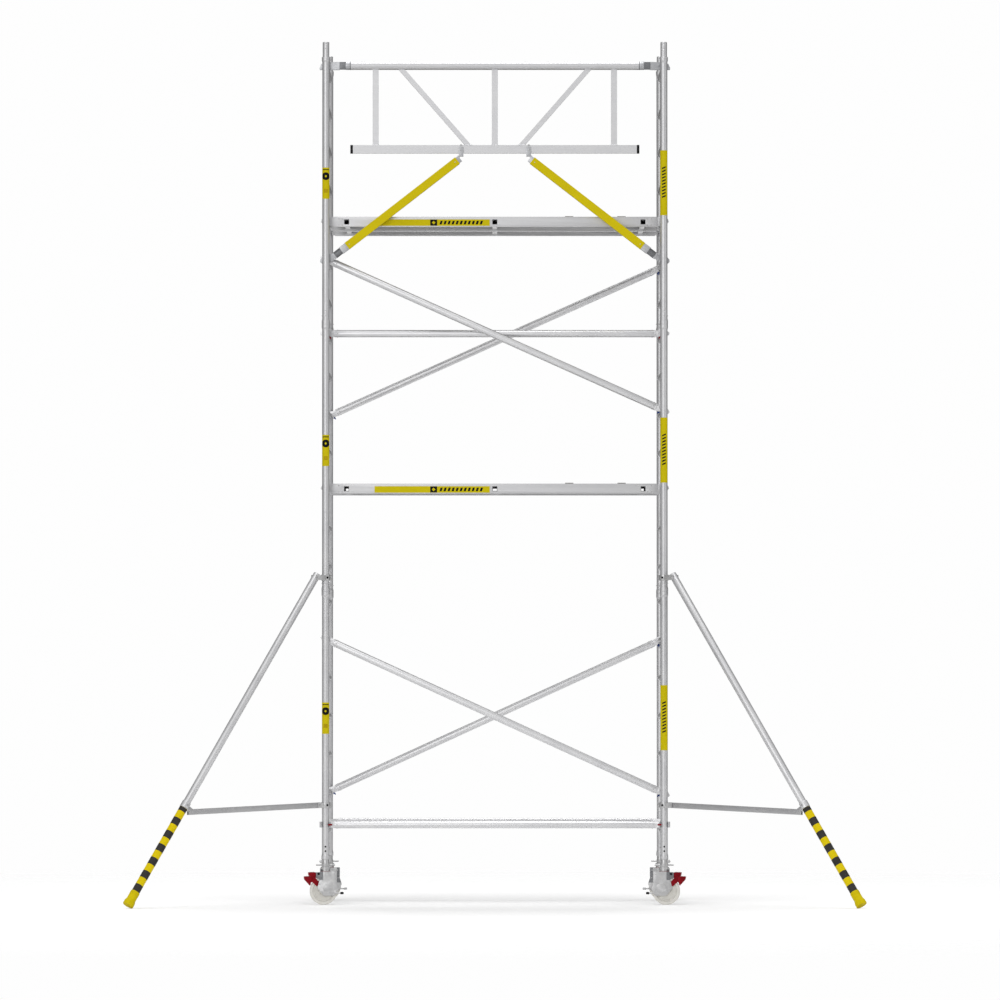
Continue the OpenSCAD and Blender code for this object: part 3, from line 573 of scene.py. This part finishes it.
GUARD_LEG = (0.270, KNEE_Z - 81 * MM)
GUARD_AIM = rung_z(2, 1) - 25 * MM
GUARD_LEG_L = math.hypot(X_POST - GUARD_LEG[0], GUARD_LEG[1] - GUARD_AIM)


def fitting_shade_tone(face):
    """Painted shade: dark bands on the bent necks of the guardrail fittings, on the top rail's
    claws and the legs' feet.
    """
    centre = face.center
    x = X_POST - abs(centre.x)
    if centre.z > KNEE_Z + 0.1:
        return 1 if 0.099 < x < 0.1445 or 0.172 < x < 0.181 else 0
    start = Vector((GUARD_LEG[0], 0, GUARD_LEG[1]))
    way = Vector((X_POST, 0, GUARD_AIM)) - start
    from_foot = GUARD_LEG_L - (Vector((abs(centre.x), 0, centre.z)) - start).dot(way.normalized())
    return 1 if 0.0835 < from_foot < 0.1395 else 0


def fork_tone(corner):
    """Darker: the bolt lugs above the brake pedal, and painted shade on the inner edge of the rear
    castors' fork necks.
    """
    i = CORNERS.index(corner)
    home = at_castor(i).inverted()

    def tone(face):
        p = home @ face.center
        lug = p.x > 0.016 and p.z > 0.180
        # painted shade: the rear castors' fork necks are darkened where they sit in shade
        neck_shade = i > 1 and p.x < -0.056 and p.z > 0.130
        return 1 if lug or neck_shade else 0
    return tone


def fork_cuts(corner):
    base = at_castor(CORNERS.index(corner))
    across = base.to_3x3() @ Vector((1, 0, 0))
    # the cuts at -0.056 and 0.130 bound the painted shade on the rear forks; those at 0.016 and
    # 0.180 bound the lugs
    return [(base @ Vector((x, 0, 0)), across) for x in (0.016, -0.056)] + [
        (base @ Vector((0, 0, z)), Vector((0, 0, 1))) for z in (0.130, 0.180)]


def leg_tone(side):
    """The strut beside the leg is a darker extrusion than the leg's tube."""
    home = on_leg(side).inverted()

    def tone(face):
        p = home @ face.center
        return 1 if math.hypot(p.x, p.y) > 33 * MM else 0
    return tone


def frame_tone(y0):
    """The cross tubes' cut ends are dark, and their undersides are painted lighter as the light
    from the floor.
    """
    def tone(face):
        p = face.center
        if min(abs(p.x - x) for x in CROSS_X) > 17.7 * MM:
            return 0
        at_end = min(abs(p.y - y0), abs(p.y - y0 - DECK_W)) < 0.6 * MM
        if at_end and abs(face.normal.y) > 0.5 and face.area < 0.002:
            return 1
        # painted light: the cross tubes' undersides are lighter where the floor lights them
        return 2 if face.normal.z < -0.9 and face.area > 0.002 else 0
    return tone


# the second material paints shade on the bent necks of the guardrail fittings
softened("guardrail_fittings", 1.2 * MM, [M["cast"], M["dark_cast_and_shade"]], fitting_shade_tone)
for corner in CORNERS:
    softened("fork_" + corner, 1.0 * MM, [M["zinc"], M["dark_cast_and_shade"]],
             fork_tone(corner), fork_cuts(corner))
for side in SIDES:
    softened("stab_leg_" + side, 0.8 * MM, [M["leg"], M["strut"]],
             leg_tone(side))
for name, plane in (("mid", "deck_1"), ("top", "deck_1"), ("rear", "deck_2")):
    softened(f"deck_{name}_frame", 0.8 * MM,
             [M["profile"], M["black"], M["cross"]], frame_tone(PLANE[plane]))

# ---------------------------------------------------------------- welds of the ladder frames

WELD_R = 2.8 * MM
WELD_STEPS = 44
for side, sign in (("l", -1), ("r", 1)):
    for level in range(3):
        welds = Piece(f"welds_{side}{level + 1}", "tower", "aluminium_tube")
        for i in range(RUNG_COUNT):
            z = rung_z(level, i)
            for y_post, inward in ((Y_FRONT, 1), (Y_REAR, -1)):
                r, points = RUNG_R + 0.8 * MM, []
                for k in range(WELD_STEPS):
                    t = 2 * math.pi * k / WELD_STEPS
                    dx = r * math.cos(t)
                    dy = math.sqrt((POST_R + 0.8 * MM) ** 2 - dx * dx)
                    points.append(Vector((sign * X_POST + dx, y_post + inward * dy,
                                          z + r * math.sin(t))))
                centre = (sign * X_POST, y_post + inward * POST_R, z)
                welds.ring(points, centre, WELD_R, 6, ripple=0.16, ripples=11)
        welds.done(M["weld"])

# ---------------------------------------------------------------- black plugs in the unused pin holes, as painted shade inside the holes

hole_shade_plugs = Piece("pin_hole_shade_plugs", "tower")
for x in (-X_POST, X_POST):
    for y, face in ((Y_FRONT, FACE_FRONT), (Y_REAR, FACE_REAR)):
        for z in (60 * MM, 92 * MM):
            cap = ((6.6, 25.2), (6.6, 26.9), (5.4, 27.6), (1.5, 27.8))
            hole_shade_plugs.lathe(in_mm(cap), move(x, y, LEVEL_Z[0] + z) @ face, 20)
hole_shade_plugs.done(M["black"])

# ---------------------------------------------------------------- rivets of the braces

DOME = [(4.6, -0.4), (4.6, 0.3), (4.1, 1.1), (2.8, 1.8), (1.2, 2.1)]


def dome(piece, m, scale=1.0):
    piece.lathe([(r * scale * MM, z * scale * MM) for r, z in DOME], m, 14)


def hexagon(piece, m, across, height, mat=0):
    """A hexagon head with a washer under it."""
    piece.lathe([(across * 0.72, 0), (across * 0.72, 1.2 * MM), (across * 0.66, 1.6 * MM)],
                m, 20, mat)
    piece.prism(circle(across / math.sqrt(3), 6), height, m @ move(0, 0, 1.6 * MM),
                chamfer=0.8 * MM, mat=mat)


BRACES = {
    "brace_high_front": (PLANE["brace_high_front"], rung_z(1, 6), rung_z(1, 6)),
    "diag_low_front": (PLANE["diag_low_front"], rung_z(0, 5), rung_z(0, 1)),
    "diag_low_rear": (PLANE["diag_rear"], rung_z(0, 1), rung_z(0, 5)),
    "diag_high_front": (PLANE["diag_high_front"], rung_z(2, 1), rung_z(1, 4)),
    "diag_high_rear": (PLANE["diag_rear"], rung_z(1, 4), rung_z(2, 1)),
    "brace_low_front": (Y_FRONT, LOW_BRACE_Z, LOW_BRACE_Z),
    "brace_low_rear": (Y_REAR, LOW_BRACE_Z, LOW_BRACE_Z),
}
rivets = Piece("brace_rivets", "tower", "zinc_steel")
for y, z_left, z_right in BRACES.values():
    ends = ((-X_POST, y, z_left), (X_POST, y, z_right))
    for start, end in (ends, ends[::-1]):
        base = along(start, end)
        for quarter in range(4):
            place = base @ move(BRACE_INSET + 17 * MM) @ turn("X", 90 * quarter)
            dome(rivets, place @ move(0, 0, BRACE_R))
rivets.done(M["zinc"])

# ---------------------------------------------------------------- labels with plain graphics

SKIN = 0.35 * MM


def strip(z0, z1, half_angle):
    return lambda u, v: (half_angle * (2 * u - 1), z0 + (z1 - z0) * v)


def slash(z, height, half_angle, lean):
    return lambda u, v: (half_angle * (2 * u - 1), z + height * (v - 0.5) + lean * (2 * u - 1))


for level in range(3):
    z = LEVEL_Z[level]
    left = Piece(f"label_left_{level + 1}", "tower")
    place = move(-X_POST, Y_FRONT)
    left.shell(POST_R, SKIN, strip(z + 0.908, z + 1.135, 1.45), 20, 2, place)
    left.shell(POST_R + SKIN, SKIN, strip(z + 1.117, z + 1.123, 0.95), 12, 1, place, 1)
    left.disc(POST_R + SKIN, SKIN, z + 1.072, 0.028, 1.2, place, 1)
    left.disc(POST_R + 2 * SKIN, SKIN, z + 1.072, 0.008, 0.26, place, 0, 20)
    left.shell(POST_R + SKIN, SKIN, strip(z + 0.952, z + 0.980, 0.55), 8, 1, place, 2)
    left.done(M["label"], M["ink"], M["ochre"])
    right = Piece(f"label_right_{level + 1}", "tower")
    place = move(X_POST, Y_FRONT)
    right.shell(POST_R, SKIN, strip(z + 0.789, z + 1.260, 1.45), 20, 4, place)
    for k in range(10):
        right.shell(POST_R + SKIN, SKIN, slash(z + 0.925 + 0.0232 * k, 0.011, 0.52, 0.006),
                    8, 1, place, 1)
    right.done(M["label"], M["ink"])

for deck, plane, z in (("mid", "deck_1", rung_z(1, 2)), ("top", "deck_1", rung_z(2, 2))):
    label = Piece(f"label_deck_{deck}", "tower")
    face = move(0, PLANE[plane], z - 13.5 * MM) @ FACE_FRONT
    label.prism(box_outline(0.836, 0.047), SKIN, face @ move(-0.455))
    label.prism(box_outline(0.050, 0.044), SKIN, face @ move(-0.444, 0, SKIN), mat=1)
    diamond = [(-0.013, 0), (0, -0.013), (0.013, 0), (0, 0.013)]
    label.prism(diamond, SKIN, face @ move(-0.444, 0, 2 * SKIN))
    for k in range(11):
        bar = [(-0.012, -0.013), (0.004, -0.013), (0.012, 0.013), (-0.004, 0.013)]
        label.prism(bar, SKIN, face @ move(-0.390 + 0.0292 * k, 0, SKIN), mat=1)
    label.done(M["label"], M["ink"])

# ---------------------------------------------------------------- platforms

DECKS = (("mid", "deck_1", rung_z(1, 2)), ("top", "deck_1", rung_z(2, 2)),
         ("rear", "deck_2", rung_z(2, 2)))
for deck, plane, z in DECKS:
    y0, board_top = PLANE[plane], z + BOARD_TOP
    studs = Piece(f"deck_rivets_{deck}", "tower", "aluminium_profile")
    for s in (-1, 1):
        for y, face in ((y0, FACE_FRONT), (y0 + DECK_W, FACE_REAR)):
            for dx, dz in ((92, 14), (92, -30), (118, 14), (118, -30)):
                dome(studs, move(s * (X_POST - dx * MM), y, z + dz * MM) @ face, 1.1)
    for k in range(15):
        x = -1.12 + 0.16 * k
        for y in (y0 + 0.040, y0 + DECK_W - 0.040):
            dome(studs, move(x, y, board_top))
    for x in CROSS_X:
        for y in (y0 + 0.16, y0 + 0.295, y0 + 0.43):
            dome(studs, move(x, y, board_top))
    studs.done(M["zinc"])

for deck, plane, z in DECKS[:2]:
    body = "hatch_" + deck
    y0, top = PLANE[plane], z + BOARD_TOP
    lip = Piece(f"hatch_grip_{deck}", body)
    outline, xc, yc = [], HATCH_MID_X, y0 + HATCH_EDGE + HATCH_W - 73 * MM
    for k in range(40):
        t = 2 * math.pi * k / 40
        outline.append(Vector((xc + math.copysign(0.035, math.cos(t)) + 0.0185 * math.cos(t),
                               yc + 0.0185 * math.sin(t), top)))
    lip.ring(outline, (xc, yc, top), 1.9 * MM, 8)
    lip.done(M["black"])
    bolts = Piece(f"hatch_bolts_{deck}", body, "zinc_steel")
    for x in HATCH_HINGE_X:
        for y in (0.061, 0.074):
            dome(bolts, move(x, y0 + y, top + 3.4 * MM), 0.7)
    bolts.done(M["zinc"])

# ---------------------------------------------------------------- guardrail

caps = Piece("rail_caps", "tower")
for s in (-1, 1):
    place = move(s * 1.0302, PLANE["guard"], KNEE_Z) @ turn("Y", 90 * s)
    rings = []
    for w, h, z in ((60.2, 32.2, 15), (60.2, 32.2, 0), (61.8, 33.8, 0.3), (61.8, 33.8, 17.4),
                    (60.4, 32.4, 18.6)):
        rings.append([place @ Vector((x * MM, y * MM, z * MM)) for x, y in box_outline(w, h)])
    ends = caps.rows(rings, loop=False)
    for ring in (ends[0], ends[-1]):
        caps.bm.faces.new(ring)
caps.done(M["black"])

guard_welds = Piece("rail_welds", "tower", "aluminium_tube")


def bar_weld(x0, x1, y, z, depth, radius):
    """A bead round the foot of a bar whose footprint is x0 to x1 and depth wide."""
    points, corner = [], 4 * MM
    half = (x1 - x0) / 2 - corner, depth / 2 - corner
    for k in range(48):
        t = 2 * math.pi * (k + 0.5) / 48
        points.append(Vector(((x0 + x1) / 2 + math.copysign(half[0], math.cos(t))
                              + corner * 1.25 * math.cos(t),
                              y + math.copysign(half[1], math.sin(t))
                              + corner * 1.25 * math.sin(t), z)))
    guard_welds.ring(points, ((x0 + x1) / 2, y, z), radius, 6)


knee_top, rail_foot = KNEE_Z + 30 * MM, RAIL_Z - 27.5 * MM
for x in UPRIGHT_X:
    bar_weld(x - 0.022, x + 0.022, PLANE["guard"], knee_top + 1 * MM, 0.026, 2.4 * MM)
    bar_weld(x - 0.022, x + 0.022, PLANE["guard"], rail_foot, 0.026, 2.4 * MM)
for s in (-1, 1):
    slope = (INFILL_TOP_X - INFILL_FOOT_X) / (RAIL_Z - KNEE_Z)
    lean = math.hypot(1, slope)
    for z in (knee_top + 1 * MM, rail_foot):
        x = s * (INFILL_FOOT_X + slope * (z - KNEE_Z))
        half = 0.018 * lean
        bar_weld(x - half, x + half, PLANE["guard"], z, 0.030, 2.4 * MM)
guard_welds.done(M["weld"])

rail_ends = Piece("rail_end_rings", "tower", "zinc_steel")
for s in (-1, 1):
    place = move(s * 1.0452, PLANE["guard"], RAIL_Z) @ turn("Y", 90 * s)
    ring = in_mm(((27.6, 0), (30.6, 0), (30.6, 5), (29.8, 6), (27.6, 6)))
    rail_ends.lathe(ring, place, 48, solid=False)
rail_ends.done(M["dark_cast_and_shade"])

studs = Piece("guard_rivets", "tower", "zinc_steel")
for s in (-1, 1):
    leg = along((s * GUARD_LEG[0], PLANE["guard"], GUARD_LEG[1]),
                (s * X_POST, PLANE["guard"], GUARD_AIM))
    for x in (24, 994):
        for y, face in ((-28.5, FACE_FRONT), (28.5, FACE_REAR)):
            dome(studs, leg @ move(x * MM, y * MM, 0) @ face, 0.9)
    for z in (30, -6):
        hexagon(studs, move(s * 0.245, PLANE["guard"] - 22 * MM, KNEE_Z + z * MM) @ FACE_FRONT,
                10 * MM, 5 * MM)
studs.done(M["zinc"])

# ---------------------------------------------------------------- castors

AXLE = move(15 * MM, 0, 100 * MM)
for i, corner in enumerate(CORNERS):
    base = at_castor(i)
    facing = Matrix.Scale(-1, 4, (0, 1, 0)) if i % 2 == 0 else Matrix.Identity(4)
    wheel = Piece(f"wheel_web_{corner}", "wheel_" + corner, "nylon")
    for s in (-1, 1):
        hub = base @ AXLE @ turn("X", 90 * s)
        for k in range(10):
            rib = hub @ turn("Z", 36 * k) @ move(0.0515, 0, 0.0165)
            wheel.prism(box_outline(0.044, 0.0045), 6.5 * MM, rib, chamfer=0.6 * MM)
        rim = [(62.5, 16.6), (63.5, 19.4), (66.5, 19.4), (67.5, 16.6)]
        wheel.lathe(in_mm(rim), hub, 64, solid=False)
        face = in_mm(((12, 26.0), (24, 26.0), (24, 27.2), (12, 27.2)))
        wheel.lathe(face, hub, 32, mat=1, solid=False)
    wheel.done(M["nylon"], M["hub"])

    fork = Piece(f"fork_fixings_{corner}", "fork_" + corner, "zinc_steel")
    for s in (-1, 1):
        side = base @ AXLE @ turn("X", 90 * s)
        washer = ((11, 33.0), (19.5, 33.0), (19.5, 34.3), (18.8, 34.8), (11, 34.8))
        fork.lathe(in_mm(washer), side, 28, solid=False)
        stub = ((7.5, 39.5), (7.5, 43.5), (6.8, 44.4), (2, 44.4))
        fork.lathe(in_mm(stub), side, 20)
        for x, z in ((-62, 222), (-62, 108), (-66, 165)):
            dome(fork, base @ move(x * MM, 0, z * MM) @ turn("X", 90 * s) @ move(0, 0, 33 * MM))
        boss = base @ move(-0.018, 0, 0.122) @ turn("X", 90 * s)
        ridge = ((28, 35.3), (29, 36.2), (31, 36.2), (32, 35.3))
        fork.lathe(in_mm(ridge), boss, 40, solid=False)
        pin = base @ move(0.042, 0, 0.152) @ turn("X", 90 * s)
        dome(fork, pin @ move(0, 0, 33 * MM), 1.4)
        lug = base @ move(0.050, 0, 0.224) @ turn("X", 90 * s)
        hexagon(fork, lug @ move(0, 0, 33 * MM), 13 * MM, 5 * MM, 1)
    fork.done(M["zinc"], M["black"])

    trim = Piece(f"fork_trim_{corner}", "fork_" + corner)
    tip = base @ facing @ move(-0.108, -0.032, 0.085) @ turn("Y", -90)
    grip = ((6.2, 0), (8.4, 0.6), (8.8, 4), (8.8, 19), (7.6, 22.4), (4, 24))
    trim.lathe(in_mm(grip), tip, 20, mat=2 if i > 1 else 0)
    seal = ((33, 241.4), (35.4, 241.4), (35.8, 242.4), (35.4, 243.6), (33, 243.6))
    trim.lathe(in_mm(seal), base, 48, mat=1, solid=False)
    trim.done(M["black"], M["dark_red"], M["zinc"])

    grip = Piece(f"pedal_treads_{corner}", "pedal_" + corner, "dark_red_plastic")
    for k in range(4):
        rib = base @ move((119 + 9.5 * k) * MM, 0, (205.2 - 0.4 * k) * MM)
        grip.prism(box_outline(0.0035, 0.070), 2.2 * MM, rib, chamfer=0.8 * MM)
    grip.done(M["dark_red"])

    nut = Piece(f"nut_fixings_{corner}", "nut_" + corner, "zinc_steel")
    screw = base @ move(0.041, 0, 0.313) @ turn("Y", 90)
    nut.lathe(in_mm(((5.5, -1), (5.5, 3.4), (4.6, 4.2), (1, 4.2))), screw, 18)
    band = ((27.5, 290), (28.6, 291), (28.6, 296), (27.5, 297))
    nut.lathe(in_mm(band), base, 48, solid=False)
    nut.done(M["zinc"])

# ---------------------------------------------------------------- stabilisers

BANDS = 13
FIRST_BAND = 32 * MM
BAND = (STAB_SLEEVE_L - FIRST_BAND) / (BANDS - 1)
SLEEVE_R = 29.5 * MM
for side in SIDES:
    leg = on_leg(side)
    tape = Piece(f"sleeve_bands_{side}", "extension_" + side)
    for k in range(0, BANDS, 2):
        low = STAB_COLLAR + (FIRST_BAND + (k - 1) * BAND if k else 0.4 * MM)
        high = low + (BAND if k else FIRST_BAND)
        ring = [(SLEEVE_R - 0.05 * MM, low), (SLEEVE_R + 0.35 * MM, low + 0.3 * MM),
                (SLEEVE_R + 0.35 * MM, high - 0.3 * MM), (SLEEVE_R - 0.05 * MM, high)]
        tape.lathe(ring, leg, 48, solid=False)
    tape.done(M["tape"])

    boot = Piece(f"boot_ribs_{side}", "extension_" + side, "yellow_rubber")
    foot = STAB_COLLAR + STAB_SLEEVE_L
    for z in (9, 17, 25):
        rib = ((33.2, z - 2.4), (34.4, z - 1), (34.4, z + 1), (33.2, z + 2.4))
        boot.lathe([(r * MM, foot + dz * MM) for r, dz in rib], leg, 48, solid=False)
    boot.done(M["boot"])

    base = at_stab(side)
    bolts = Piece(f"stab_bolts_{side}", "stabiliser_" + side, "zinc_steel")
    for x, y, z in ((STAB_PIVOT, 33.4 * MM, STAB_TOP), (65 * MM, 16.4 * MM, STAB_LOW)):
        hexagon(bolts, base @ move(x, -y, z) @ FACE_FRONT, 13 * MM, 6 * MM)
        hexagon(bolts, base @ move(x, y, z) @ FACE_REAR, 13 * MM, 6 * MM)
    outward = -1 if side == "l" else 1
    for z in (STAB_TOP, STAB_LOW):
        post = move(outward * X_POST, Y_FRONT, z) @ turn("Z", -24.5 * outward)
        hexagon(bolts, post @ move(0, -32.4 * MM, 0) @ FACE_FRONT, 11 * MM, 3.4 * MM, 1)
    clip = leg @ move(0, 0, STAB_COLLAR - 27 * MM)
    for quarter in (1, 3):
        hexagon(bolts, clip @ turn("Z", 90 * quarter) @ move(32 * MM) @ turn("Y", 90),
                12 * MM, 5 * MM)
    bolts.done(M["zinc"], M["black"])

# ---------------------------------------------------------------- floor, light and camera


def floor_disc(radius, fade_from, fade_to):
    mesh = bpy.data.meshes.new("floor")
    bm = bmesh.new()
    bmesh.ops.create_circle(bm, cap_ends=True, segments=96, radius=radius)
    bm.to_mesh(mesh)
    bm.free()
    obj = bpy.data.objects.new("floor", mesh)
    bpy.context.scene.collection.objects.link(obj)
    s = Surface("floor", Roughness=0.9, Specular_IOR_Level=0.1, Emission_Strength=0.14)
    s.shader.inputs["Base Color"].default_value = (0.9, 0.9, 0.9, 1)
    s.shader.inputs["Emission Color"].default_value = (1, 1, 1, 1)
    far = s.node("VectorMath", {0: s.coords}, operation="LENGTH").outputs["Value"]
    fade = s.node("MapRange", {"Value": far, "From Min": fade_from, "From Max": fade_to},
                  interpolation_type="SMOOTHSTEP").outputs["Result"]
    clear = s.node("BsdfTransparent")
    both = s.node("MixShader")
    s.link(fade, both.inputs[0])
    s.link(s.shader.outputs[0], both.inputs[1])
    s.link(clear.outputs[0], both.inputs[2])
    s.link(both.outputs[0], s.tree.nodes["Material Output"].inputs["Surface"])
    mesh.materials.append(s.mat)


def studio_world(front, back, top, shown):
    world = bpy.data.worlds.new("studio")
    bpy.context.scene.world = world
    world.use_nodes = True
    tree = world.node_tree
    background = tree.nodes["Background"]

    def add(kind, **settings):
        n = tree.nodes.new("ShaderNode" + kind)
        for key, value in settings.items():
            setattr(n, key, value)
        return n
    way = add("SeparateXYZ")
    tree.links.new(add("TexCoord").outputs["Generated"], way.inputs[0])
    depth = add("MapRange")
    tree.links.new(way.outputs["Y"], depth.inputs["Value"])
    for key, value in (("From Min", -0.9), ("From Max", 0.75), ("To Min", front), ("To Max", back)):
        depth.inputs[key].default_value = value
    height = add("MapRange")
    tree.links.new(way.outputs["Z"], height.inputs["Value"])
    for key, value in (("From Min", 0.0), ("From Max", 1.0), ("To Min", 0.0), ("To Max", top)):
        height.inputs[key].default_value = value
    total = add("Math", operation="ADD")
    tree.links.new(depth.outputs[0], total.inputs[0])
    tree.links.new(height.outputs[0], total.inputs[1])
    choice = add("Mix", data_type="FLOAT")
    tree.links.new(add("LightPath").outputs["Is Camera Ray"], choice.inputs[0])
    tree.links.new(total.outputs[0], choice.inputs[2])
    choice.inputs[3].default_value = shown
    tree.links.new(choice.outputs[0], background.inputs["Strength"])
    background.inputs["Color"].default_value = (1, 1, 1, 1)


def softbox(name, place, aim, size, power):
    light = bpy.data.lights.new(name, "AREA")
    light.shape, light.size, light.size_y, light.energy = "RECTANGLE", size[0], size[1], power
    obj = bpy.data.objects.new(name, light)
    bpy.context.scene.collection.objects.link(obj)
    obj.location = place
    obj.rotation_euler = (Vector(aim) - Vector(place)).to_track_quat("-Z", "Y").to_euler()
    obj.visible_camera = False


floor_disc(40.0, 4.0, 12.0)
studio_world(front=0.68, back=0.16, top=0.12, shown=0.99)
softbox("key", (-8.0, -20.0, 8.0), (0, 0.5, 3.0), (12.0, 12.0), 1150)
softbox("top_back", (0.3, 10.5, 28.0), (0, 0.5, 0), (10.0, 10.0), 2600)
softbox("top_front", (-0.3, -5.0, 29.0), (0, 0.5, 0), (9.0, 9.0), 1900)
softbox("fill", (9.0, -5.0, 4.0), (0, 0.5, 3.0), (2.5, 7.0), 70)

CAMERA_DISTANCE = 57.0
camera = bpy.data.objects.new("camera", bpy.data.cameras.new("camera"))
bpy.context.scene.collection.objects.link(camera)
camera.data.sensor_width = 36
camera.data.lens = 7871 * 36 / 1000
camera.data.shift_x = 0.00515
camera.data.clip_end = 400
camera.location = (0, Y_FRONT - CAMERA_DISTANCE, 1.541)
camera.rotation_euler = (math.radians(90 + 1.395), 0, 0)
bpy.context.scene.camera = camera
bpy.context.scene.view_settings.view_transform = "Standard"
